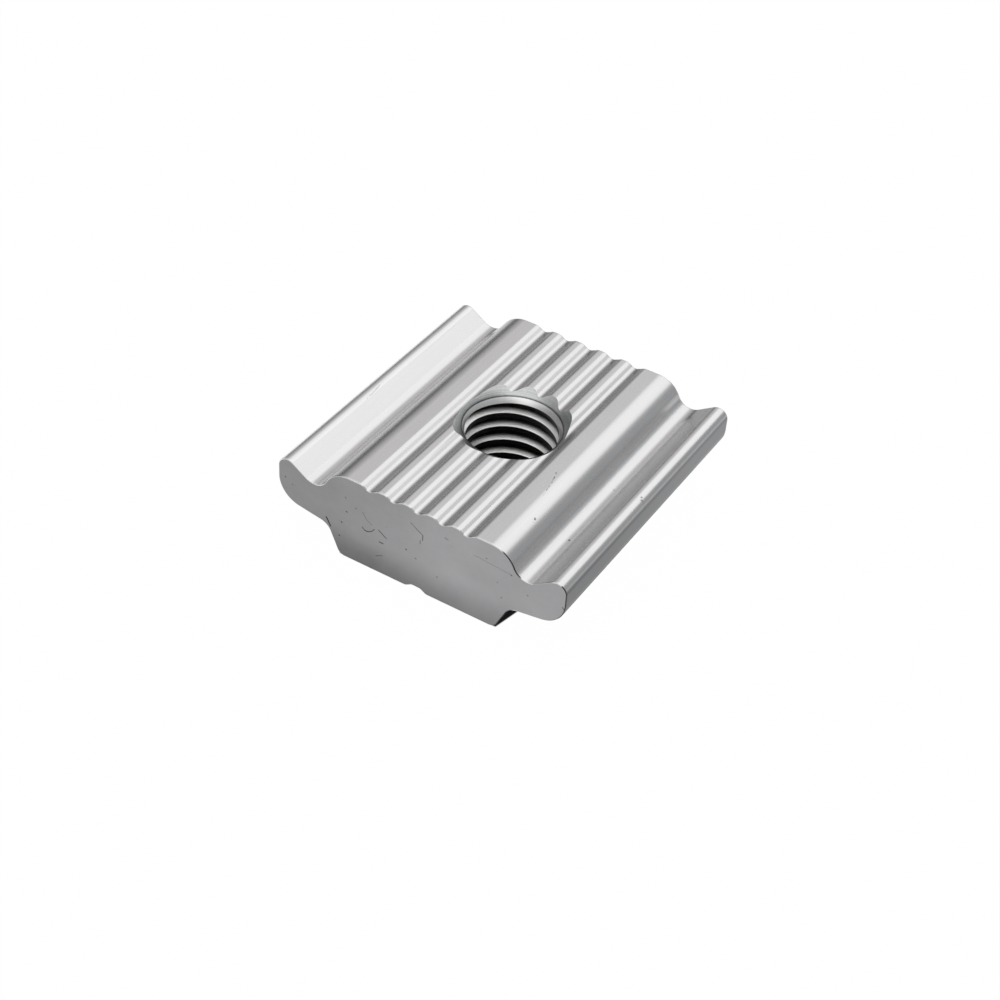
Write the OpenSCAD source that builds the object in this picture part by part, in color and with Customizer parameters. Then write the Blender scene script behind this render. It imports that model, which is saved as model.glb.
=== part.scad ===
// Rail nut: a slide-in nut for an M8 bolt, sawn from an extruded aluminium bar.
// The section lies in X and Z, the bar runs along Y, and the foot's underside is at Z = 0.
// All lengths are in millimetres.

/* [Overall size] */
// Width across the two ears
nut_w = 23.6; // [22.8:0.1:26]
// Length that is cut from the bar
nut_l = 23.6; // [16:0.1:40]
// Height from the underside of the foot to the tops of the ridges
nut_h = 7.3; // [7.1:0.1:9]

/* [Foot] */
// Width of the foot at its underside
foot_w = 13; // [11:0.1:14]
// Radius along the foot's lower edges
foot_r = 0.7; // [0.2:0.1:1.2]
// Width of the neck, where the foot's leaning sides meet the ears
neck_w = 15.1; // [14.5:0.1:16]
// Height of the neck above the underside
neck_z = 2.3; // [1.9:0.1:2.6]
// Radius of the hollow corner at the neck
neck_r = 1.1; // [0.3:0.1:1.6]

/* [Centre groove] */
// Width of the marking groove at the underside
groove_w = 1.7; // [1.4:0.1:2.4]
// Width of the groove's floor
groove_floor_w = 0.7; // [0.4:0.1:1]
// Depth of the groove
groove_d = 0.3; // [0.1:0.05:0.6]
// Radius of the groove's corners
groove_r = 0.5; // [0.1:0.1:0.6]

/* [Ears] */
// Height of the lower outer corner before it is rounded
ear_low_z = 3; // [2.7:0.1:3.3]
// Radius of the lower outer corner
ear_low_r = 2.1; // [0.5:0.1:2.3]
// Height of the upper outer corner before it is rounded
ear_top_z = 7.2; // [6.7:0.1:7.5]
// Radius of the ear's crest
ear_top_r = 0.8; // [0.3:0.1:1]
// Height of the valleys between ears and crown, before they are rounded
valley_z = 4.9; // [4.3:0.1:5]
// Radius of the valleys
valley_r = 1.15; // [0.4:0.05:1.2]

/* [Crown] */
// Width across the crown's shoulders before they are rounded
crown_w = 14.2; // [12.7:0.1:15.1]
// How far the crown's flank leans out from the shoulder to the valley
flank_run = 1.2; // [1.15:0.05:2]
// Radius of the shoulders
crown_r = 2.1; // [0.5:0.1:2.2]

/* [Grip waves] */
// Number of troughs along the crown
wave_n = 5; // [1:1:5]
// Distance from one trough to the next
wave_pitch = 1.98; // [1.86:0.02:2.1]
// Place of the middle trough along X
wave_shift = -0.2; // [-0.4:0.05:0.4]
// Depth of the troughs before they are rounded
wave_d = 0.42; // [0.2:0.02:0.5]
// How far the side that falls into a trough runs along X
wave_fall = 0.52; // [0.5:0.02:0.8]
// How far the gentler side that rises again runs along X
wave_rise = 0.74; // [0.6:0.02:0.98]
// Radius where the falling side begins
wave_fall_r = 0.7; // [0.2:0.1:0.8]
// Radius where the rising side ends
wave_rise_r = 0.6; // [0.2:0.1:1.7]
// Radius along the bottom of a trough
wave_low_r = 0.5; // [0.1:0.05:0.55]

/* [Bolt hole] */
// Diameter of the hole at the tips of its M8 thread
bore_d = 6.8; // [5:0.1:7.4]
// Distance of the hole from the middle of the nut's length
bore_off = 0.4; // [-3:0.1:3]
// Diameter of the countersink at the tops of the ridges
sink_d = 8.4; // [7.8:0.1:10]
// Diameter of the countersink at the underside of the foot
exit_d = 7.8; // [7.6:0.1:9]
// Angle between the two sides of each countersink
sink_angle = 90; // [60:5:120]

/* [Hidden] */

// Largest turn between two points of a rounded corner, in degrees
arc_step = 7.5;
// Sides of the hole
bore_sides = 96;
// How far a cut runs past the face that it starts from
past = 0.5;

// Corners of the right side, from the groove up to the crown: x, z, radius
side = [
    [groove_floor_w / 2, groove_d, groove_r],
    [groove_w / 2, 0, groove_r],
    [foot_w / 2, 0, foot_r],
    [neck_w / 2, neck_z, neck_r],
    [nut_w / 2, ear_low_z, ear_low_r],
    [nut_w / 2, ear_top_z, ear_top_r],
    [crown_w / 2 + flank_run, valley_z, valley_r],
    [crown_w / 2, nut_h, crown_r]
];

// Corners of the waves, from right to left
waves = [
    for (i = [wave_n - 1:-1:0])
        let (x = wave_shift + (i - (wave_n - 1) / 2) * wave_pitch)
        each [
            [x + wave_rise, nut_h, wave_rise_r],
            [x, nut_h - wave_d, wave_low_r],
            [x - wave_fall, nut_h, wave_fall_r]
        ]
];

// The left side mirrors the right one, from the crown down to the groove
other_side = [for (i = [len(side) - 1:-1:0]) [-side[i][0], side[i][1], side[i][2]]];

// All corners, once round the section
corners = concat(side, waves, other_side);

function flat(p) = [p[0], p[1]];
function unit(v) = v / norm(v);

// Points along the arc that rounds corner b, which lies between a and c
function rounded_corner(a, b, c) =
    let (
        to_a = unit(flat(a) - flat(b)),
        to_c = unit(flat(c) - flat(b)),
        half_angle = acos(to_a * to_c) / 2,
        centre = flat(b) + unit(to_a + to_c) * b[2] / sin(half_angle),
        first = flat(b) + to_a * b[2] / tan(half_angle) - centre,
        start = atan2(first[1], first[0]),
        turn = (180 - 2 * half_angle) * sign(cross(to_c, to_a)),
        steps = ceil(abs(turn) / arc_step)
    )
    [for (i = [0:steps]) centre + b[2] * [cos(start + turn * i / steps), sin(start + turn * i / steps)]];

// Section of the extruded bar
module section() {
    n = len(corners);
    polygon([
        for (i = [0:n - 1])
            each rounded_corner(corners[(i + n - 1) % n], corners[i], corners[(i + 1) % n])
    ]);
}

module bar() {
    rotate([90, 0, 0])
        linear_extrude(height = nut_l, center = true)
            section();
}

// Cone that opens the hole to face_d at Z = 0, and runs on past it
module countersink(face_d) {
    slope = tan(sink_angle / 2);
    depth = (face_d - bore_d) / 2 / slope;
    translate([0, 0, -depth])
        cylinder(h = depth + past, d1 = bore_d, d2 = face_d + 2 * past * slope, $fn = bore_sides);
}

module bolt_hole() {
    translate([0, bore_off, 0]) {
        translate([0, 0, -past])
            cylinder(h = nut_h + 2 * past, d = bore_d, $fn = bore_sides);
        translate([0, 0, nut_h])
            countersink(sink_d);
        mirror([0, 0, 1])
            countersink(exit_d);
    }
}

module rail_nut() {
    color("silver")
        difference() {
            bar();
            bolt_hole();
        }
}

rail_nut();
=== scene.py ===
import math

import bmesh
import bpy
from mathutils import Matrix, Vector


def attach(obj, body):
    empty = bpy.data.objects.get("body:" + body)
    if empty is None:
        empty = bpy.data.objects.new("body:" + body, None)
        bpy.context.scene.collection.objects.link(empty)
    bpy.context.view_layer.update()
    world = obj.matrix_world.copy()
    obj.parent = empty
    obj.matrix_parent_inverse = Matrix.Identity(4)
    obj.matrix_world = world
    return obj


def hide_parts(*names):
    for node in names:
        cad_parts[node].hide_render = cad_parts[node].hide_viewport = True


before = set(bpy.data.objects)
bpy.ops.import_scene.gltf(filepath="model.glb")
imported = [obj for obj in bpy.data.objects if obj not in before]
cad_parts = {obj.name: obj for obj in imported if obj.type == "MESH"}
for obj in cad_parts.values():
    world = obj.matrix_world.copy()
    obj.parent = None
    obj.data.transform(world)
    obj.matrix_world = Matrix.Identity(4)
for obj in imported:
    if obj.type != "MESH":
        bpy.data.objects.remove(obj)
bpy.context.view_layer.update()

MM = 0.001

# Sizes of the nut, in millimetres, as in the part's source. Only the waves differ a little.
NUT_W, NUT_L, NUT_H = 23.6, 23.6, 7.3
FOOT_W, FOOT_R = 13.0, 0.7
NECK_W, NECK_Z, NECK_R = 15.1, 2.3, 1.1
GROOVE_W, GROOVE_FLOOR_W, GROOVE_D, GROOVE_R = 1.7, 0.7, 0.3, 0.5
EAR_LOW_Z, EAR_LOW_R, EAR_TOP_Z, EAR_TOP_R = 3.0, 2.1, 7.2, 0.8
VALLEY_Z, VALLEY_R = 4.9, 1.15
CROWN_W, FLANK_RUN, CROWN_R = 14.2, 1.2, 2.1
WAVE_N, WAVE_PITCH, WAVE_SHIFT, WAVE_D = 5, 1.98, -0.15, 0.39
WAVE_FALL, WAVE_RISE = 0.58, 0.78
WAVE_FALL_R, WAVE_RISE_R, WAVE_LOW_R = 0.7, 0.6, 0.5
# Largest turn between two points of a rounded corner, in degrees
ARC_STEP = 3.0
# Radius of the edges at the sawn ends, and the share of it by which their middle lies in
EDGE_R, EDGE_MIDDLE = 0.07, 0.3

# Radius of the hole at the thread's tips, and how far it lies behind the middle of the length
BORE_R, BORE_OFF = 3.4, 0.4
# The countersink at the top, in two steps: radius and height, from the bore outwards
SINK = [(3.4, 6.32), (3.64, 6.75), (4.40, 7.3)]
# How far its cutter runs on below and above them, in lengths of the step beside it
SINK_ON_DOWN, SINK_ON_UP = 1.0, 1.5
# Radius of the countersink at the underside, and how far its cutter reaches down and up
EXIT_R, EXIT_DOWN, EXIT_UP = 3.9, 1, 2

# The M8 thread: radius of its roots, pitch, width of a root, and angle of its flanks in degrees
ROOT_R = 4.0
PITCH = 1.25
ROOT_FLAT = PITCH / 8
THREAD_FLANK = 30
# Width of its groove at the tips, and of the land that is left between two turns
GROOVE_MOUTH = ROOT_FLAT + 2 * (ROOT_R - BORE_R) * math.tan(math.radians(THREAD_FLANK))
LAND = PITCH - GROOVE_MOUTH
# The thread is turned so that a groove would begin at this angle, in degrees, and this height
THREAD_ANGLE, THREAD_Z = 119.0, 6.66
# Where the thread ends, a little way up the countersink's steep ring
THREAD_TOP = 6.42
# The screw that cuts it: the height that it starts below, its turns, and its pointed ends' length
SCREW_LOW, SCREW_TURNS, SCREW_POINT = -2.5, 10, 3
# Steps in one turn of the cutters
TURN_STEPS = 144

# How the faces of the nut are told apart. Least share of a normal along Y for a sawn end,
# towards the axis for the hole, and up or down for the level face where the thread ends:
SAWN_FACING, INWARD_FACING, LEVEL_FACING = 0.99, 0.3, 0.8
# Radius that both countersinks stay within
SINK_REACH = 4.7
# Largest distance from the sawn end and from the two cones
SAWN_NEAR, SINK_NEAR, EXIT_NEAR = 0.01, 0.02, 0.01
# The thread: how far past its roots, from which height, and up to how far past the lip
ROOT_NEAR, TAPPED_LOW, LIP_NEAR = 0.05, 0.02, 0.01
# Edges that turn more than this stay sharp, in degrees
SHARP_ANGLE = 28

# Base colours and roughness of the four finishes
EXTRUDED_COLOUR, EXTRUDED_ROUGHNESS = (0.62, 0.617, 0.62), 0.27
# Painted shade: the outer sides' dark base colour stands in for the dark reflection that they show
SIDE_SHADE_COLOUR = (0.150, 0.152, 0.156)
# Colour of the burr's painted shadow along the right-facing edges of the ends
BURR_SHADOW_COLOUR = (0.06, 0.06, 0.06)
SAWN_COLOUR, SAWN_ROUGHNESS = (0.33, 0.33, 0.337), 0.45
MACHINED_COLOUR, MACHINED_ROUGHNESS = (0.46, 0.475, 0.472), 0.3
TAPPED_COLOUR, TAPPED_ROUGHNESS = (0.74, 0.74, 0.73), 0.36

# Noise in the finishes: features in a millimetre along X, Y and Z, detail and roughness
SKIN_NOISE = {
    "lines": ((5.0, 0.04, 5.0), 3.0, 0.6),
    "fine lines": ((19.0, 0.25, 19.0), 2.0, 0.5),
    "grain": ((11.0, 5.0, 11.0), 3.0, 0.7),
    "clouds": ((0.5, 0.25, 0.5), 2.0, 0.5),
    "hair": ((9.0, 0.06, 9.0), 1.0, 0.5),
    "gaps": ((5.0, 3.5, 5.0), 2.0, 0.5),
}
SAWN_NOISE = {
    "clouds": ((0.22, 0.22, 0.3), 2.0, 0.5),
    "mottle": ((1.3, 1.3, 1.3), 3.0, 0.5),
    "grain": ((9.0, 9.0, 9.0), 2.0, 0.7),
    "saw": ((0.5, 1.0, 14.0), 2.0, 0.5),
    "specks": ((5.0, 5.0, 5.0), 1.0, 0.5),
}
HOLE_NOISE = {
    "rings": ((9.0, 0.0, 0.0), 2.0, 0.5),
    "machined grain": ((7.0, 7.0, 7.0), 2.0, 0.5),
    "drag": ((1.2, 1.2, 16.0), 2.0, 0.5),
    "tapped grain": ((6.0, 6.0, 6.0), 2.0, 0.5),
}

# How far each thing swings or shifts the skin's brightness, its roughness and its height
SKIN_TONE = {"lines": 0.03, "grain": 0.02, "clouds": 0.03, "hair": -0.05, "rims": 0.05, "marks": -0.7}
SKIN_ROUGH = {"grain": 0.03, "clouds": 0.02, "side": 0.12, "rims": 0.06}
SKIN_HEIGHT = {"lines": 0.35, "fine lines": 0.1, "grain": 0.03, "hair": -0.3, "marks": -3.0}
SKIN_BUMP = 0.003
# The noise levels between which a hair scratch begins, and between which a gap in a mark ends
HAIR_LEVELS, GAP_LEVELS = (0.70, 0.76), (0.42, 0.52)
# The outer sides get a painted shade: how far a normal turns sideways there and how far out they
# lie, both as where they begin and where they are complete, and how much paler it gets towards the
# back
SIDE_TURN, SIDE_PLACE, SIDE_PALER = (0.78, 0.96), (10.4, 10.9), 0.42
# The rims beside the sawn ends: how far from an end they begin, and where they are complete
RIM_FROM, RIM_TO = 0.22, 0.04
# The burr's painted shadow along the edges that look right: how far their normals turn to the end and
# to the right
BURR_SHADOW_END, BURR_SHADOW_RIGHT = (0.12, 0.3), (0.36, 0.5)
# These and other groups of four say from where to where a value runs, and its start and end.
# The strength of the burr's painted shadow along X, which is the sum of two such runs:
BURR_SHADOW_LEFT_RUN, BURR_SHADOW_RIGHT_RUN = (-7.0, -6.0, 0.0, 0.45), (4.6, 5.2, 0.0, 0.55)
# Grain, by the distance from the middle: faint on the waves, stronger beside them, then fading
GRAIN_BEGINS, GRAIN_FADES = (4.3, 4.9, 0.2, 1.0), (5.2, 6.6, 1.0, 0.1)
# How deep the lines in the skin are, by the distance from the middle
LINES_FADE = (6.2, 6.8, 1.0, 0.25)

# Bands of painted shade and painted highlight along the bar, which stand in for its reflections:
# where they begin and end along X, and how much darker they are. Those below 0 are brighter, as
# painted highlights. The trough band, a painted shade, starts from the lowest line of each trough.
SHADE_AND_HIGHLIGHT_STREAKS = [
    (-11.85, -11.1, -0.42),
    (-10.8, -9.2, -0.09),
    (-8.75, -7.95, -0.25),
    (-8.0, -7.2, 0.13),
    (-7.4, -6.3, 0.24),
    (7.40, 7.9, 0.2),
    (7.85, 8.25, -0.3),
    (9.1, 10.7, 0.38),
    (10.6, 10.95, -0.2),
    (4.5, 5.9, 0.08),
]
TROUGH_SHADE_STREAK = (0.1, 0.6, 0.36)
# Width of the soft rims on both sides of a streak, inside it
STREAK_BLUR = 0.2

# How far each thing swings or shifts a sawn end's brightness, its roughness and its height
SAWN_TONE = {"clouds": 0.12, "mottle": 0.08, "grain": 0.06, "saw": 0.02, "marks": -1.1}
SAWN_ROUGH = {"mottle": 0.05, "grain": 0.05}
SAWN_HEIGHT = {"grain": 0.5, "saw": 0.4, "marks": -2.5}
SAWN_BUMP = 0.006
# How the brightness of the ends changes from left to right, and a painted shade that darkens them from
# the underside up
SAWN_ACROSS, SAWN_SHADE_UP = (-8.0, 4.0, -0.10, 0.11), (0.0, 3.2, -0.42, 0.0)
# The depth of specks, by the noise level
SPECKS = (0.73, 0.79, 0.0, 0.25)
# Nicks and specks show on the front end only, which lies at a negative y
FRONT = (-1.0, 1.0, 1.0, 0.0)

# The countersinks' grey tone, and how far rings and grain swing their looks and height
MACHINED_TONE, RING_SWING, MACHINED_GRAIN = 0.97, 0.45, 0.2
MACHINED_ROUGH, MACHINED_HEIGHT, MACHINED_BUMP = 0.06, 0.3, 0.01
# The thin dark line just outside the lip between the countersink's steps, by the distance from it
LIP_PAST, LIP_LINE = 0.03, (0.04, 0.09, -0.6, 0.0)

# How far the tap's drag lines and grain swing the thread's looks and height
DRAG_SWING, TAPPED_GRAIN = 0.1, 0.05
TAPPED_ROUGH, TAPPED_HEIGHT, TAPPED_BUMP = 0.06, 0.4, 0.005
# Painted shade on the thread's lands and in its deep roots: how much darker they are, by the radius
LANDS_SHADE, ROOTS_SHADE = (BORE_R + 0.005, 3.42, 0.85, 0.0), (3.66, 3.86, 0.0, 0.9)
# This painted shade ends at the countersink
THREAD_SHADE_END = (SINK[0][1], SINK[0][1] + 0.1, 1.0, 0.0)

# Nicks and scratches on the front end: start and end as x and z, width, depth from 0 to 1
SAWN_MARKS = [
    ((-7.65, 2.91), (-7.29, 2.26), 0.09, 0.7),
    ((-6.33, 3.09), (-6.30, 3.06), 0.10, 0.6),
    ((-6.54, 1.76), (-6.50, 1.74), 0.09, 0.6),
    ((-11.22, 4.87), (-11.18, 4.83), 0.09, 0.6),
    ((-10.60, 4.44), (-10.56, 4.42), 0.08, 0.5),
    ((-5.94, 4.26), (-5.90, 4.24), 0.10, 0.6),
    ((-5.15, 4.94), (-5.11, 4.92), 0.08, 0.5),
    ((-6.04, 5.50), (-5.98, 5.47), 0.08, 0.5),
    ((-0.90, 3.34), (-0.86, 3.32), 0.10, 0.7),
    ((-0.11, 2.94), (-0.06, 2.92), 0.09, 0.6),
    ((-4.58, 3.51), (-4.42, 3.34), 0.08, 0.6),
    ((-4.42, 3.34), (-4.19, 3.29), 0.08, 0.7),
    ((-4.19, 3.29), (-3.85, 3.47), 0.08, 0.6),
    ((-3.85, 3.47), (-3.54, 3.80), 0.07, 0.5),
    ((-3.19, 3.91), (-2.54, 3.48), 0.08, 0.6),
    ((-3.11, 2.87), (-2.83, 2.89), 0.09, 0.7),
    ((-4.54, 4.87), (-4.25, 4.40), 0.06, 0.3),
    ((-4.25, 4.40), (-3.76, 4.09), 0.06, 0.3),
    ((-3.40, 1.44), (-2.83, 1.73), 0.06, 0.35),
    ((-0.60, 5.90), (-0.13, 5.66), 0.06, 0.45),
    ((-0.13, 5.66), (0.34, 5.34), 0.07, 0.55),
    ((0.43, 5.30), (0.43, 4.84), 0.08, 0.65),
    ((0.26, 4.73), (0.26, 4.44), 0.07, 0.5),
    ((2.23, 5.98), (2.40, 5.94), 0.14, 0.3),
    ((4.51, 5.66), (7.37, 5.44), 0.05, 0.3),
    ((7.48, 5.41), (7.55, 5.39), 0.10, 0.6),
    ((5.51, 5.87), (5.56, 5.86), 0.08, 0.5),
    ((11.59, 4.66), (11.73, 4.48), 0.08, 0.6),
    ((8.87, 4.30), (8.92, 4.28), 0.08, 0.5),
    ((6.87, 3.01), (6.92, 3.00), 0.08, 0.5),
    ((1.69, 2.16), (1.74, 2.14), 0.08, 0.5),
    ((6.50, 4.23), (6.54, 4.22), 0.08, 0.4),
]
# Scratches and specks on top: start and end as x and y, width, depth from 0 to 1
TOP_MARKS = [
    ((5.39, -2.46), (5.73, -3.57), 0.07, 0.9),
    ((5.73, -3.57), (6.05, -5.53), 0.06, 0.7),
    ((6.72, -7.65), (6.80, -7.90), 0.09, 0.9),
    ((8.90, -6.42), (8.92, -6.48), 0.12, 1.0),
    ((8.70, 0.10), (8.86, 0.02), 0.08, 0.5),
    ((11.30, -0.70), (11.48, -0.95), 0.16, 0.8),
    ((3.95, 0.55), (4.10, -0.10), 0.10, 0.6),
    ((-10.74, -0.76), (-10.60, -2.60), 0.05, 0.4),
]
# The share of the width that is drawn on the front end and on top
SAWN_MARK_WIDTH, TOP_MARK_WIDTH = 0.8, 1.0
# The share of a mark's width over which it is at its deepest
MARK_CORE = 0.35
# How the marks bend: features in a millimetre, and the reach along X, Y and Z
SAWN_WOBBLE_SCALE, SAWN_WOBBLE = 2.5, (0.12, 0.12, 0.12)
TOP_WOBBLE_SCALE, TOP_WOBBLE = 3.0, (0.25, 0.25, 0.0)
# The heights between which the marks on top begin
TOP_MARKS_ABOVE = (4.0, 4.4)

# Floor: half its width, its gap below the nut, its share of glow, and its colours
FLOOR_HALF, FLOOR_GAP = 900, 0.02
FLOOR_GLOW_SHARE = 0.99
FLOOR_COLOUR = (0.9, 0.9, 0.9)
# Colour of the painted shadow under and beside the nut
PAINTED_SHADOW_COLOUR = (0.05, 0.05, 0.05)
# Half the width and length of the painted shadow that the camera sees by the foot, how far it widens
# for each millimetre away from the ends, its greatest half width, and its soft rims
SHADOW_X, SHADOW_Y, SHADOW_SPREAD, SHADOW_WIDEST = 6.6, 11.75, 0.2, 7.2
SHADOW_RIM_X, SHADOW_RIM_Y = 0.12, 0.15
# It leaves out the groove's two ends: where they begin along Y, and their soft rim along X
GROOVE_END, GROOVE_RIM = (9.0, 9.5), 0.5
# The painted shadow that the metal mirrors: where it begins and ends to fade, from the nut's edges
MIRRORED_X, MIRRORED_Y = (-1.0, 0.5), (-0.5, 0.3)

# Tints of the light
NEUTRAL = (1.0, 1.0, 1.0)
ROSE = (1.0, 0.97, 0.985)
COOL = (0.965, 0.985, 1.0)
# Light: a tent round the nut, whose brightness depends on the angle from straight up towards +X,
# and one long soft box overhead that adds to it. Angle, grey level and tint of the tent:
TENT = [
    (-180, 0.36, NEUTRAL),
    (-92, 0.41, NEUTRAL),
    (-76, 0.16, NEUTRAL),
    (-65, 0.26, NEUTRAL),
    (-57, 0.43, NEUTRAL),
    (-48, 0.62, ROSE),
    (-33, 0.77, ROSE),
    (-24, 0.96, NEUTRAL),
    (34, 0.96, NEUTRAL),
    (40, 0.50, NEUTRAL),
    (52, 0.43, COOL),
    (100, 0.46, COOL),
    (180, 0.36, NEUTRAL),
]
# The soft box: the angles that it spans, its brightness, distance and length in metres
BOX_LOW, BOX_HIGH, BOX_STRENGTH = -22, 36, 0.42
BOX_DISTANCE, BOX_LENGTH = 0.5, 2.0

# Camera: its direction and roll in degrees, distance and target in millimetres, and its focal
# length in pixels of an image that is 1000 wide
AZIMUTH, ELEVATION, ROLL = 28.98, 40.03, 4.51
DISTANCE, FOCAL, IMAGE_WIDTH, SENSOR = 125.624, 1978.825, 1000, 36
TARGET = Vector((7.481, -14.1, 13.553))
CLIP_START, CLIP_END = 0.005, 10


# Section of the bar
def rounded_corner(a, b, c):
    """Points along the arc that rounds corner b, given as (x, z, radius)."""
    p = Vector(b[:2])
    to_a = (Vector(a[:2]) - p).normalized()
    to_c = (Vector(c[:2]) - p).normalized()
    half = math.acos(max(-1.0, min(1.0, to_a.dot(to_c)))) / 2
    centre = p + (to_a + to_c).normalized() * b[2] / math.sin(half)
    first = p + to_a * b[2] / math.tan(half) - centre
    start = math.atan2(first.y, first.x)
    cross = to_c.x * to_a.y - to_c.y * to_a.x
    turn = (math.pi - 2 * half) * (1 if cross > 0 else -1)
    steps = max(1, math.ceil(math.degrees(abs(turn)) / ARC_STEP))
    points = []
    for i in range(steps + 1):
        angle = start + turn * i / steps
        points.append((centre.x + b[2] * math.cos(angle), centre.y + b[2] * math.sin(angle)))
    return points


def wave_centres():
    """Where the troughs lie along X."""
    return [WAVE_SHIFT + (i - (WAVE_N - 1) / 2) * WAVE_PITCH for i in range(WAVE_N)]


def section():
    """The outline, once round from the groove."""
    side = [
        (GROOVE_FLOOR_W / 2, GROOVE_D, GROOVE_R),
        (GROOVE_W / 2, 0, GROOVE_R),
        (FOOT_W / 2, 0, FOOT_R),
        (NECK_W / 2, NECK_Z, NECK_R),
        (NUT_W / 2, EAR_LOW_Z, EAR_LOW_R),
        (NUT_W / 2, EAR_TOP_Z, EAR_TOP_R),
        (CROWN_W / 2 + FLANK_RUN, VALLEY_Z, VALLEY_R),
        (CROWN_W / 2, NUT_H, CROWN_R),
    ]
    waves = []
    for x in reversed(wave_centres()):
        waves.append((x + WAVE_RISE, NUT_H, WAVE_RISE_R))
        waves.append((x, NUT_H - WAVE_D, WAVE_LOW_R))
        waves.append((x - WAVE_FALL, NUT_H, WAVE_FALL_R))
    other_side = [(-x, z, r) for x, z, r in reversed(side)]
    corners = side + waves + other_side
    points = []
    for i, corner in enumerate(corners):
        points += rounded_corner(corners[i - 1], corner, corners[(i + 1) % len(corners)])
    return points


def inset(points, by):
    """The closed outline moved inwards by a small distance."""
    out = []
    n = len(points)
    for i, (x, z) in enumerate(points):
        a, c = points[i - 1], points[(i + 1) % n]
        tangent = Vector((c[0] - a[0], c[1] - a[1])).normalized()
        out.append((x - tangent.y * by, z + tangent.x * by))
    return out


# Meshes
def make_mesh(name, verts, faces):
    mesh = bpy.data.meshes.new(name)
    mesh.from_pydata([[c * MM for c in v] for v in verts], [], faces)
    mesh.validate()
    mesh.update()
    return mesh


def make_object(name, data):
    obj = bpy.data.objects.new(name, data)
    bpy.context.scene.collection.objects.link(obj)
    return obj


def bar_mesh():
    """The bar with its rounded edges. One more ring beside each keeps the shading straight."""
    outline = section()
    n = len(outline)
    half = NUT_L / 2
    rings = [
        (-half, EDGE_R),
        (-half + EDGE_R * EDGE_MIDDLE, EDGE_R * EDGE_MIDDLE),
        (-half + EDGE_R, 0),
        (-half + 2 * EDGE_R, 0),
        (half - 2 * EDGE_R, 0),
        (half - EDGE_R, 0),
        (half - EDGE_R * EDGE_MIDDLE, EDGE_R * EDGE_MIDDLE),
        (half, EDGE_R),
    ]
    verts, faces = [], []
    for y, by in rings:
        ring = inset(outline, by) if by else outline
        verts += [(x, y, z) for x, z in ring]
    for k in range(len(rings) - 1):
        for i in range(n):
            j = (i + 1) % n
            faces.append((k * n + i, k * n + j, (k + 1) * n + j, (k + 1) * n + i))
    faces.append(tuple(reversed(range(n))))
    faces.append(tuple((len(rings) - 1) * n + i for i in range(n)))
    return make_mesh("bar", verts, faces)


def screw_points(start, column):
    """Columns of points up the screw's wall, once round it. Each is a little higher than the last."""
    profile = [
        (BORE_R, 0.0),
        (BORE_R, LAND),
        (ROOT_R, LAND + (GROOVE_MOUTH - ROOT_FLAT) / 2),
        (ROOT_R, LAND + (GROOVE_MOUTH + ROOT_FLAT) / 2),
    ]
    points = []
    for j in range(TURN_STEPS):
        turn = j / TURN_STEPS
        angle = math.radians(THREAD_ANGLE) + 2 * math.pi * turn
        for i in range(column):
            r, z = profile[i % 4]
            z += start + PITCH * (i // 4) + PITCH * turn
            points.append((r * math.cos(angle), BORE_OFF + r * math.sin(angle), z))
    return points


def screw_faces(column):
    """The wall of the screw. Its last column joins the first one, a turn further up."""
    faces = []
    for j in range(TURN_STEPS):
        for i in range(column - 1):
            a = j * column + i
            if j < TURN_STEPS - 1:
                faces.append((a, a + column, a + column + 1, a + 1))
            elif i + 5 < column:
                faces.append((a, i + 4, i + 5, a + 1))
    return faces


def add_cap(verts, faces, rim, height):
    """Closes one end of the screw with a fan round a point on its axis."""
    centre = len(verts)
    verts.append((0, BORE_OFF, height))
    for a, b in zip(rim, rim[1:] + rim[:1]):
        faces.append((centre, a, b))


def end_below(mesh, height):
    """Cuts off what lies above a height, closes the cut and turns all faces outwards."""
    bm = bmesh.new()
    bm.from_mesh(mesh)
    whole = bm.verts[:] + bm.edges[:] + bm.faces[:]
    result = bmesh.ops.bisect_plane(
        bm, geom=whole, plane_co=(0, 0, height * MM), plane_no=(0, 0, 1), clear_outer=True
    )
    rim = [e for e in result["geom_cut"] if isinstance(e, bmesh.types.BMEdge)]
    bmesh.ops.contextual_create(bm, geom=rim)
    bmesh.ops.recalc_face_normals(bm, faces=bm.faces)
    bm.to_mesh(mesh)
    bm.free()


def thread_mesh():
    """A closed screw, as large as the tapped hole, that is cut from the bar."""
    start = THREAD_Z - LAND
    start -= PITCH * math.ceil((start - SCREW_LOW) / PITCH)
    column = 4 * SCREW_TURNS + 1
    verts = screw_points(start, column)
    faces = screw_faces(column)
    low_rim = [1, 2, 3, 4] + [j * column for j in reversed(range(TURN_STEPS))]
    high_rim = [(j + 1) * column - 1 for j in range(TURN_STEPS)]
    high_rim += [TURN_STEPS * column - 1 - k for k in (1, 2, 3, 4)]
    add_cap(verts, faces, low_rim, SCREW_LOW - SCREW_POINT)
    add_cap(verts, faces, high_rim, start + PITCH * SCREW_TURNS + SCREW_POINT)
    mesh = make_mesh("thread", verts, faces)
    end_below(mesh, THREAD_TOP)
    return mesh


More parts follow.
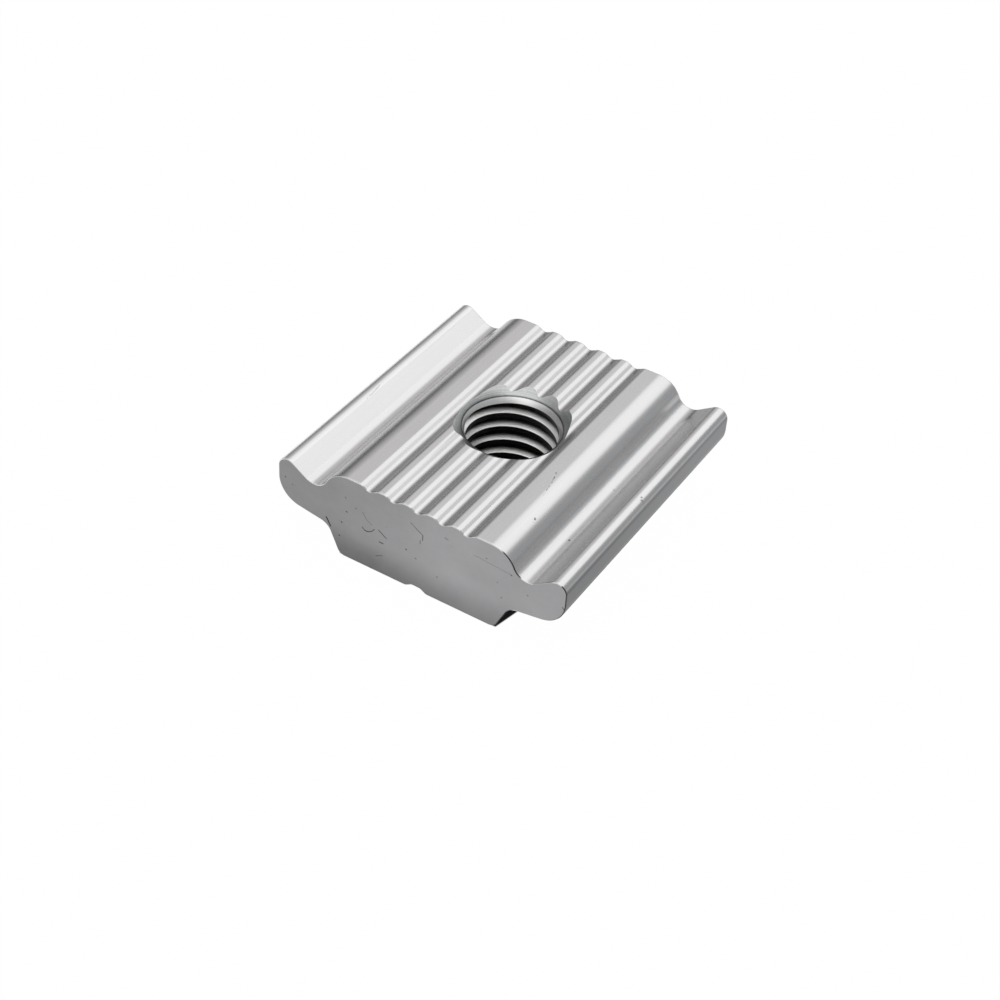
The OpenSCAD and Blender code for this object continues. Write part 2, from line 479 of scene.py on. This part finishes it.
def lathe_mesh(profile):
    """A closed body of revolution round the hole, from (radius, z) points that rise in z."""
    verts, faces = [], []
    for r, z in profile:
        for j in range(TURN_STEPS):
            a = 2 * math.pi * (j + 0.5) / TURN_STEPS
            verts.append((r * math.cos(a), BORE_OFF + r * math.sin(a), z))
    for i in range(len(profile) - 1):
        for j in range(TURN_STEPS):
            k = (j + 1) % TURN_STEPS
            a, b = i * TURN_STEPS, (i + 1) * TURN_STEPS
            faces.append((a + j, a + k, b + k, b + j))
    faces.append(tuple(reversed(range(TURN_STEPS))))
    faces.append(tuple((len(profile) - 1) * TURN_STEPS + j for j in range(TURN_STEPS)))
    return make_mesh("lathe", verts, faces)


def beyond(a, b, by):
    """The point on the line from a to b that lies past b, by times their distance."""
    return (b[0] + (b[0] - a[0]) * by, b[1] + (b[1] - a[1]) * by)


def top_sink_mesh():
    below = beyond(SINK[1], SINK[0], SINK_ON_DOWN)
    above = beyond(SINK[1], SINK[2], SINK_ON_UP)
    return lathe_mesh([below, SINK[1], SINK[2], above])


def exit_sink_mesh():
    return lathe_mesh([(EXIT_R + EXIT_DOWN, -EXIT_DOWN), (EXIT_R - EXIT_UP, EXIT_UP)])


def cut(target, cutters):
    """Cuts closed meshes from an object, one after the other."""
    for mesh in cutters:
        tool = make_object(mesh.name, mesh)
        mod = target.modifiers.new("cut", "BOOLEAN")
        mod.operation = "DIFFERENCE"
        mod.solver = "EXACT"
        mod.object = tool
        graph = bpy.context.evaluated_depsgraph_get()
        result = bpy.data.meshes.new_from_object(target.evaluated_get(graph))
        target.modifiers.clear()
        target.data = result
        bpy.data.objects.remove(tool)


# Materials
class Graph:
    """One material, and short ways to add linked nodes to it."""

    def __init__(self, name, metallic=1.0):
        self.material = bpy.data.materials.new(name)
        self.material.use_nodes = True
        self.tree = self.material.node_tree
        self.bsdf = self.tree.nodes["Principled BSDF"]
        self.bsdf.inputs["Metallic"].default_value = metallic

    def feed(self, socket, value):
        """Links a socket to another one, or sets it to a number or colour."""
        if isinstance(value, bpy.types.NodeSocket):
            self.tree.links.new(value, socket)
        else:
            socket.default_value = value

    def math(self, operation, a, b=0.0):
        node = self.tree.nodes.new("ShaderNodeMath")
        node.operation = operation
        self.feed(node.inputs[0], a)
        self.feed(node.inputs[1], b)
        return node.outputs[0]

    def times(self, a, b):
        return self.math("MULTIPLY", a, b)

    def without(self, share):
        """1 where the share is 0, and 0 where it is 1."""
        return self.math("SUBTRACT", 1.0, share)

    def size(self, value):
        return self.math("ABSOLUTE", value)

    def total(self, *values):
        result = values[0]
        for value in values[1:]:
            result = self.math("ADD", result, value)
        return result

    def around(self, value, swing):
        """Turns noise between 0 and 1 into a number that swings around 0."""
        return self.times(self.math("SUBTRACT", value, 0.5), 2 * swing)

    def step(self, value, low, high, start=0.0, end=1.0):
        """Runs smoothly from start at low to end at high."""
        node = self.tree.nodes.new("ShaderNodeMapRange")
        node.interpolation_type = "SMOOTHSTEP"
        self.feed(node.inputs["Value"], value)
        self.feed(node.inputs["From Min"], low)
        self.feed(node.inputs["From Max"], high)
        self.feed(node.inputs["To Min"], start)
        self.feed(node.inputs["To Max"], end)
        return node.outputs["Result"]

    def between(self, value, low, high, blur):
        """1 between low and high, with soft rims inside them, and 0 elsewhere."""
        rises = self.step(value, low, low + blur)
        falls = self.step(value, high - blur, high, 1.0, 0.0)
        return self.times(rises, falls)

    def vector(self, operation, a, b=(0.0, 0.0, 0.0)):
        node = self.tree.nodes.new("ShaderNodeVectorMath")
        node.operation = operation
        self.feed(node.inputs[0], a)
        self.feed(node.inputs[1], b)
        gives_number = operation in ("DOT_PRODUCT", "LENGTH", "DISTANCE")
        return node.outputs["Value" if gives_number else "Vector"]

    def scaled(self, vector, factor):
        """A vector or colour times a number."""
        node = self.tree.nodes.new("ShaderNodeVectorMath")
        node.operation = "SCALE"
        self.feed(node.inputs[0], vector)
        self.feed(node.inputs["Scale"], factor)
        return node.outputs["Vector"]

    def place(self):
        """The point on the object, in millimetres."""
        coordinate = self.tree.nodes.new("ShaderNodeTexCoord")
        return self.vector("MULTIPLY", coordinate.outputs["Object"], (1 / MM,) * 3)

    def axes(self, vector):
        """The three sockets x, y and z of a vector."""
        node = self.tree.nodes.new("ShaderNodeSeparateXYZ")
        self.feed(node.inputs[0], vector)
        return node.outputs[:]

    def from_axis(self, place):
        """The distance from the hole's axis."""
        centred = self.vector("SUBTRACT", place, (0, BORE_OFF, 0))
        return self.vector("LENGTH", self.vector("MULTIPLY", centred, (1, 1, 0)))

    def noise(self, place, per_mm, detail, roughness):
        """Noise between 0 and 1, with per_mm features in a millimetre along each axis."""
        node = self.tree.nodes.new("ShaderNodeTexNoise")
        self.feed(node.inputs["Vector"], self.vector("MULTIPLY", place, per_mm))
        node.inputs["Scale"].default_value = 1.0
        node.inputs["Detail"].default_value = detail
        node.inputs["Roughness"].default_value = roughness
        return node.outputs["Fac"]

    def wobble(self, place, per_mm, reach):
        """The place, moved to and fro by up to half the reach along each axis."""
        node = self.tree.nodes.new("ShaderNodeTexNoise")
        self.feed(node.inputs["Vector"], place)
        node.inputs["Scale"].default_value = per_mm
        shift = self.vector("SUBTRACT", node.outputs["Color"], (0.5, 0.5, 0.5))
        return self.vector("ADD", place, self.vector("MULTIPLY", shift, reach))

    def mix(self, share, a, b):
        """Colour a where share is 0, and colour b where it is 1."""
        node = self.tree.nodes.new("ShaderNodeMix")
        node.data_type = "RGBA"
        self.feed(node.inputs["Factor"], share)
        self.feed(node.inputs["A"], a if isinstance(a, bpy.types.NodeSocket) else (*a, 1))
        self.feed(node.inputs["B"], b if isinstance(b, bpy.types.NodeSocket) else (*b, 1))
        return node.outputs["Result"]

    def stroke(self, place, start, end, width, plane):
        """1 on a line from start to end, and 0 away from it. plane has a 1 for its two axes."""
        first, second = [i for i in range(3) if plane[i]]
        a, b = Vector((0, 0, 0)), Vector((0, 0, 0))
        a[first], a[second] = start
        b[first], b[second] = end
        run = b - a
        from_a = self.vector("SUBTRACT", self.vector("MULTIPLY", place, plane), tuple(a))
        along = self.vector("DOT_PRODUCT", from_a, tuple(run))
        along = self.math("DIVIDE", along, max(run.length_squared, 1e-6))
        along = self.math("MINIMUM", self.math("MAXIMUM", along, 0.0), 1.0)
        gap = self.vector("DISTANCE", from_a, self.scaled(tuple(run), along))
        return self.step(gap, width * MARK_CORE, width, 1.0, 0.0)

    def marks(self, place, marks, width_share, plane):
        """The depth of the listed marks, and 0 away from them."""
        depths = 0.0
        for start, end, width, depth in marks:
            stroke = self.stroke(place, start, end, width * width_share, plane)
            depths = self.math("MAXIMUM", depths, self.times(stroke, depth))
        return depths

    def bump(self, height, depth_mm):
        node = self.tree.nodes.new("ShaderNodeBump")
        node.inputs["Strength"].default_value = 1.0
        node.inputs["Distance"].default_value = depth_mm * MM
        self.feed(node.inputs["Height"], height)
        self.feed(self.bsdf.inputs["Normal"], node.outputs["Normal"])

    def finish(self, colour, tone, roughness):
        """Sets the colour, times a grey tone, and the roughness."""
        self.feed(self.bsdf.inputs["Base Color"], self.scaled(colour, tone))
        self.feed(self.bsdf.inputs["Roughness"], roughness)
        return self.material


def burr_shadow_line(g, x, facing):
    """A painted shadow: the thin dark line under the burr along the edges of the bar's ends, where
    they face right.
    """
    endways = g.step(g.size(facing[1]), *BURR_SHADOW_END)
    across = g.math("SQRT", g.math("SUBTRACT", 1.0001, g.times(facing[1], facing[1])))
    rightwards = g.step(g.math("DIVIDE", facing[0], across), *BURR_SHADOW_RIGHT)
    strength = g.total(g.step(x, *BURR_SHADOW_LEFT_RUN), g.step(x, *BURR_SHADOW_RIGHT_RUN))
    return g.times(g.times(endways, rightwards), strength)


def top_marks(g, place, z):
    """The scratches and specks on top, broken by gaps."""
    wobbly = g.wobble(place, TOP_WOBBLE_SCALE, TOP_WOBBLE)
    marks = g.marks(wobbly, TOP_MARKS, TOP_MARK_WIDTH, (1, 1, 0))
    marks = g.times(marks, g.step(g.noise(place, *SKIN_NOISE["gaps"]), *GAP_LEVELS))
    return g.times(marks, g.step(z, *TOP_MARKS_ABOVE))


def shade_and_highlight_bands(g, x):
    """How much darker the bands of painted shade along the bar are. Below 0 they are painted
    highlights.
    """
    low, high, share = TROUGH_SHADE_STREAK
    in_troughs = [(centre + low, centre + high, share) for centre in wave_centres()]
    return g.total(*(
        g.times(g.between(x, low, high, STREAK_BLUR), share)
        for low, high, share in SHADE_AND_HIGHLIGHT_STREAKS + in_troughs
    ))


def extruded_finish():
    """The drawn skin of the bar: fine lines along Y, a little grain, and painted shade on the outer
    sides.
    """
    g = Graph("extruded")
    place = g.place()
    x, y, z = g.axes(place)
    from_middle = g.size(x)
    facing = g.axes(g.tree.nodes.new("ShaderNodeNewGeometry").outputs["Normal"])

    lines = g.noise(place, *SKIN_NOISE["lines"])
    fine_lines = g.noise(place, *SKIN_NOISE["fine lines"])
    grain = g.noise(place, *SKIN_NOISE["grain"])
    clouds = g.noise(place, *SKIN_NOISE["clouds"])
    hair = g.step(g.noise(place, *SKIN_NOISE["hair"]), *HAIR_LEVELS)
    marks = top_marks(g, place, z)

    # Where the outer sides get their painted shade
    side = g.times(g.step(g.size(facing[0]), *SIDE_TURN), g.step(from_middle, *SIDE_PLACE))
    rims = g.step(g.size(y), NUT_L / 2 - RIM_FROM, NUT_L / 2 - RIM_TO)
    grainy = g.times(g.step(from_middle, *GRAIN_FADES), g.step(from_middle, *GRAIN_BEGINS))
    lined = g.step(from_middle, *LINES_FADE)

    tone = g.total(
        1.0,
        # Painted shade and painted highlights in bands along the bar
        g.times(shade_and_highlight_bands(g, x), -1.0),
        g.around(lines, SKIN_TONE["lines"]),
        g.times(g.around(grain, SKIN_TONE["grain"]), grainy),
        g.around(clouds, SKIN_TONE["clouds"]),
        g.times(hair, SKIN_TONE["hair"]),
        g.times(rims, SKIN_TONE["rims"]),
        g.times(marks, SKIN_TONE["marks"]),
        # The painted shade of the outer sides gets paler towards the back
        g.times(g.step(y, -NUT_L / 2, NUT_L / 2, 0.0, SIDE_PALER), side),
    )
    roughness = g.total(
        EXTRUDED_ROUGHNESS,
        g.times(g.around(grain, SKIN_ROUGH["grain"]), grainy),
        g.around(clouds, SKIN_ROUGH["clouds"]),
        g.times(side, SKIN_ROUGH["side"]),
        g.times(rims, SKIN_ROUGH["rims"]),
    )
    height = g.total(
        g.times(g.times(lines, SKIN_HEIGHT["lines"]), lined),
        g.times(g.times(fine_lines, SKIN_HEIGHT["fine lines"]), lined),
        g.times(g.times(grain, SKIN_HEIGHT["grain"]), grainy),
        g.times(hair, SKIN_HEIGHT["hair"]),
        g.times(marks, SKIN_HEIGHT["marks"]),
    )
    g.bump(height, SKIN_BUMP)
    # Painted shade on the outer sides
    colour = g.mix(side, EXTRUDED_COLOUR, SIDE_SHADE_COLOUR)
    # The burr's painted shadow line along the right-facing edges
    colour = g.mix(burr_shadow_line(g, x, facing), colour, BURR_SHADOW_COLOUR)
    return g.finish(colour, tone, roughness)


def sawn_finish():
    """The cut ends of the bar: a matt, softly mottled grey with a few nicks and scratches."""
    g = Graph("sawn")
    place = g.place()
    x, y, z = g.axes(place)
    clouds = g.noise(place, *SAWN_NOISE["clouds"])
    mottle = g.noise(place, *SAWN_NOISE["mottle"])
    grain = g.noise(place, *SAWN_NOISE["grain"])
    saw = g.noise(place, *SAWN_NOISE["saw"])
    wobbly = g.wobble(place, SAWN_WOBBLE_SCALE, SAWN_WOBBLE)
    marks = g.marks(wobbly, SAWN_MARKS, SAWN_MARK_WIDTH, (1, 0, 1))
    specks = g.step(g.noise(place, *SAWN_NOISE["specks"]), *SPECKS)
    marks = g.times(g.math("MAXIMUM", marks, specks), g.step(y, *FRONT))
    tone = g.total(
        1.0,
        g.step(x, *SAWN_ACROSS),
        # Painted shade towards the underside of the end
        g.step(z, *SAWN_SHADE_UP),
        g.around(clouds, SAWN_TONE["clouds"]),
        g.around(mottle, SAWN_TONE["mottle"]),
        g.around(grain, SAWN_TONE["grain"]),
        g.around(saw, SAWN_TONE["saw"]),
        g.times(marks, SAWN_TONE["marks"]),
    )
    roughness = g.total(
        SAWN_ROUGHNESS,
        g.around(mottle, SAWN_ROUGH["mottle"]),
        g.around(grain, SAWN_ROUGH["grain"]),
    )
    height = g.total(
        g.times(grain, SAWN_HEIGHT["grain"]),
        g.times(saw, SAWN_HEIGHT["saw"]),
        g.times(marks, SAWN_HEIGHT["marks"]),
    )
    g.bump(height, SAWN_BUMP)
    return g.finish(SAWN_COLOUR, tone, roughness)


def machined_finish():
    """The countersinks: turned rings around the hole, and a thin dark line along the lip."""
    g = Graph("machined")
    place = g.place()
    radius = g.from_axis(place)
    outwards = g.tree.nodes.new("ShaderNodeCombineXYZ")
    g.feed(outwards.inputs[0], radius)
    rings = g.noise(outwards.outputs[0], *HOLE_NOISE["rings"])
    grain = g.noise(place, *HOLE_NOISE["machined grain"])
    lip = g.size(g.math("SUBTRACT", radius, SINK[1][0] + LIP_PAST))
    tone = g.total(
        MACHINED_TONE,
        g.around(rings, RING_SWING),
        g.around(grain, MACHINED_GRAIN),
        g.step(lip, *LIP_LINE),
    )
    roughness = g.total(MACHINED_ROUGHNESS, g.around(grain, MACHINED_ROUGH))
    g.bump(g.total(rings, g.times(grain, MACHINED_HEIGHT)), MACHINED_BUMP)
    return g.finish(MACHINED_COLOUR, tone, roughness)


def tapped_finish():
    """The thread: bright flanks with fine lines that the tap left, and painted shade on the lands and
    in the deep roots.
    """
    g = Graph("tapped")
    place = g.place()
    radius = g.from_axis(place)
    drag = g.noise(place, *HOLE_NOISE["drag"])
    grain = g.noise(place, *HOLE_NOISE["tapped grain"])
    # Painted shade on the lands and in the deep roots
    thread_shade = g.total(g.step(radius, *ROOTS_SHADE), g.step(radius, *LANDS_SHADE))
    thread_shade = g.times(thread_shade, g.step(g.axes(place)[2], *THREAD_SHADE_END))
    tone = g.total(1.0, g.times(thread_shade, -1.0), g.around(drag, DRAG_SWING), g.around(grain, TAPPED_GRAIN))
    roughness = g.total(TAPPED_ROUGHNESS, g.around(grain, TAPPED_ROUGH))
    g.bump(g.total(drag, g.times(grain, TAPPED_HEIGHT)), TAPPED_BUMP)
    return g.finish(TAPPED_COLOUR, tone, roughness)


FINISHES = [extruded_finish(), sawn_finish(), machined_finish(), tapped_finish()]
EXTRUDED, SAWN, MACHINED, TAPPED = range(4)


# The nut
def finish_of(poly):
    """The finish of a face of the nut, from where it lies and where it looks."""
    c = poly.center / MM
    n = poly.normal
    r = math.hypot(c.x, c.y - BORE_OFF)
    inward = -(n.x * c.x + n.y * (c.y - BORE_OFF)) / max(r, 1e-6)
    (r1, z1), (r2, z2) = SINK[1:]
    cone_z = z1 + (r - r1) * (z2 - z1) / (r2 - r1)
    on_sink = r1 < r < SINK_REACH and abs(cone_z - c.z) < SINK_NEAR
    on_exit = r < SINK_REACH and abs(r - EXIT_R + c.z) < EXIT_NEAR
    in_hole = r < ROOT_R + ROOT_NEAR and TAPPED_LOW < c.z < SINK[1][1] + LIP_NEAR
    if abs(n.y) > SAWN_FACING and abs(c.y) > NUT_L / 2 - SAWN_NEAR:
        return SAWN
    if inward > INWARD_FACING and (on_sink or on_exit):
        return MACHINED
    if in_hole and (inward > INWARD_FACING or abs(n.z) > LEVEL_FACING):
        return TAPPED
    return EXTRUDED


nut = make_object("rail_nut_body", bar_mesh())
cut(nut, [thread_mesh(), top_sink_mesh(), exit_sink_mesh()])
nut.data.name = "rail_nut_body"
for finish in FINISHES:
    nut.data.materials.append(finish)
for poly in nut.data.polygons:
    poly.material_index = finish_of(poly)
nut.data.shade_smooth()
nut.data.set_sharp_from_angle(angle=math.radians(SHARP_ANGLE))
weighted = nut.modifiers.new("weighted", "WEIGHTED_NORMAL")
weighted.keep_sharp = True
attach(nut, "root")
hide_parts("rail_nut")


# Floor
def painted_shadow_by_foot(g, x, y):
    """The painted shadow under and beside the foot, from distances to the middle."""
    reach = g.times(g.math("SUBTRACT", NUT_L / 2, y), SHADOW_SPREAD)
    reach = g.math("MINIMUM", g.math("ADD", reach, SHADOW_X), SHADOW_WIDEST)
    wide = g.step(g.math("SUBTRACT", x, reach), -SHADOW_RIM_X, 0.0, 1.0, 0.0)
    long = g.step(y, SHADOW_Y - SHADOW_RIM_Y, SHADOW_Y, 1.0, 0.0)
    below_groove = g.step(x, GROOVE_W, GROOVE_W + GROOVE_RIM, 1.0, 0.0)
    groove_end = g.times(below_groove, g.step(y, *GROOVE_END))
    return g.times(g.times(wide, long), g.without(groove_end))


def painted_shadow_under_ears(g, x, y):
    """The larger painted shadow that the metal mirrors."""
    wide = g.step(x, NUT_W / 2 + MIRRORED_X[0], NUT_W / 2 + MIRRORED_X[1], 1.0, 0.0)
    long = g.step(y, NUT_L / 2 + MIRRORED_Y[0], NUT_L / 2 + MIRRORED_Y[1], 1.0, 0.0)
    return g.times(wide, long)


def floor_finish():
    """A pale floor that shows as white, also in the metal, but for the painted shadow under the nut.
    """
    g = Graph("floor", 0.0)
    g.tree.nodes.remove(g.bsdf)
    x, y = [g.size(axis) for axis in g.axes(g.place())[:2]]
    shadow_by_foot = painted_shadow_by_foot(g, x, y)
    shadow_under_ears = painted_shadow_under_ears(g, x, y)
    path = g.tree.nodes.new("ShaderNodeLightPath")
    mirrored = g.math("MAXIMUM", path.outputs["Is Glossy Ray"], path.outputs["Is Transmission Ray"])
    seen = g.times(path.outputs["Is Camera Ray"], g.without(shadow_by_foot))
    reflected = g.times(mirrored, g.without(shadow_under_ears))
    glow_share = g.times(g.math("MAXIMUM", seen, reflected), FLOOR_GLOW_SHARE)
    # The painted shadow: where the camera sees it by the foot, and where the metal mirrors it
    dark = g.math("MAXIMUM", shadow_by_foot, g.times(mirrored, shadow_under_ears))
    diffuse = g.tree.nodes.new("ShaderNodeBsdfDiffuse")
    g.feed(diffuse.inputs["Color"], g.mix(dark, FLOOR_COLOUR, PAINTED_SHADOW_COLOUR))
    glow = g.tree.nodes.new("ShaderNodeEmission")
    glow.inputs["Strength"].default_value = 1.0
    both = g.tree.nodes.new("ShaderNodeMixShader")
    g.feed(both.inputs[0], glow_share)
    g.feed(both.inputs[1], diffuse.outputs[0])
    g.feed(both.inputs[2], glow.outputs[0])
    g.feed(g.tree.nodes["Material Output"].inputs["Surface"], both.outputs[0])
    return g.material


floor_corners = [
    (-FLOOR_HALF, -FLOOR_HALF, 0),
    (FLOOR_HALF, -FLOOR_HALF, 0),
    (FLOOR_HALF, FLOOR_HALF, 0),
    (-FLOOR_HALF, FLOOR_HALF, 0),
]
floor = make_object("floor", make_mesh("floor", floor_corners, [(0, 1, 2, 3)]))
floor.location.z = -FLOOR_GAP * MM
floor.data.materials.append(floor_finish())


# World and lamp
def tent_world():
    """A world whose brightness depends on the angle round the Y axis, as in TENT."""
    world = bpy.data.worlds.new("tent")
    world.use_nodes = True
    tree = world.node_tree
    axes = tree.nodes.new("ShaderNodeSeparateXYZ")
    tree.links.new(tree.nodes.new("ShaderNodeTexCoord").outputs["Generated"], axes.inputs[0])
    angle = tree.nodes.new("ShaderNodeMath")
    angle.operation = "ARCTAN2"
    tree.links.new(axes.outputs["X"], angle.inputs[0])
    tree.links.new(axes.outputs["Z"], angle.inputs[1])
    share = tree.nodes.new("ShaderNodeMapRange")
    share.inputs["From Min"].default_value = -math.pi
    share.inputs["From Max"].default_value = math.pi
    tree.links.new(angle.outputs[0], share.inputs["Value"])
    ramp = tree.nodes.new("ShaderNodeValToRGB")
    stops = ramp.color_ramp.elements
    while len(stops) < len(TENT):
        stops.new(0.5)
    for stop, (degrees, level, tint) in zip(stops, TENT):
        stop.position = (degrees + 180) / 360
        stop.color = (*(level * c for c in tint), 1)
    tree.links.new(share.outputs["Result"], ramp.inputs["Fac"])
    tree.links.new(ramp.outputs["Color"], tree.nodes["Background"].inputs["Color"])
    tree.nodes["Background"].inputs["Strength"].default_value = 1.0
    return world


def soft_box():
    """The long area lamp over the nut."""
    middle = math.radians((BOX_LOW + BOX_HIGH) / 2)
    half = math.radians((BOX_HIGH - BOX_LOW) / 2)
    data = bpy.data.lights.new("soft_box", "AREA")
    data.shape = "RECTANGLE"
    data.size = 2 * BOX_DISTANCE * math.tan(half)
    data.size_y = BOX_LENGTH
    data.energy = math.pi * data.size * data.size_y * BOX_STRENGTH
    lamp = make_object("soft_box", data)
    z = Vector((math.sin(middle), 0, math.cos(middle)))
    y = Vector((0, 1, 0))
    turn = Matrix((y.cross(z), y, z)).transposed().to_4x4()
    lamp.matrix_world = Matrix.Translation(z * BOX_DISTANCE) @ turn


bpy.context.scene.world = tent_world()
soft_box()


# Camera
def make_camera():
    az, el, roll = math.radians(AZIMUTH), math.radians(ELEVATION), math.radians(ROLL)
    back = Vector((math.sin(az) * math.cos(el), -math.cos(az) * math.cos(el), math.sin(el)))
    level_right = Vector((math.cos(az), math.sin(az), 0))
    level_up = level_right.cross(-back)
    right = math.cos(roll) * level_right + math.sin(roll) * level_up
    up = -math.sin(roll) * level_right + math.cos(roll) * level_up
    data = bpy.data.cameras.new("camera")
    data.sensor_width = SENSOR
    data.lens = FOCAL * SENSOR / IMAGE_WIDTH
    data.clip_start = CLIP_START
    data.clip_end = CLIP_END
    camera = make_object("camera", data)
    turn = Matrix((right, up, back)).transposed().to_4x4()
    camera.matrix_world = Matrix.Translation((TARGET + back * DISTANCE) * MM) @ turn
    return camera


bpy.context.scene.camera = make_camera()
bpy.context.scene.view_settings.view_transform = "Standard"
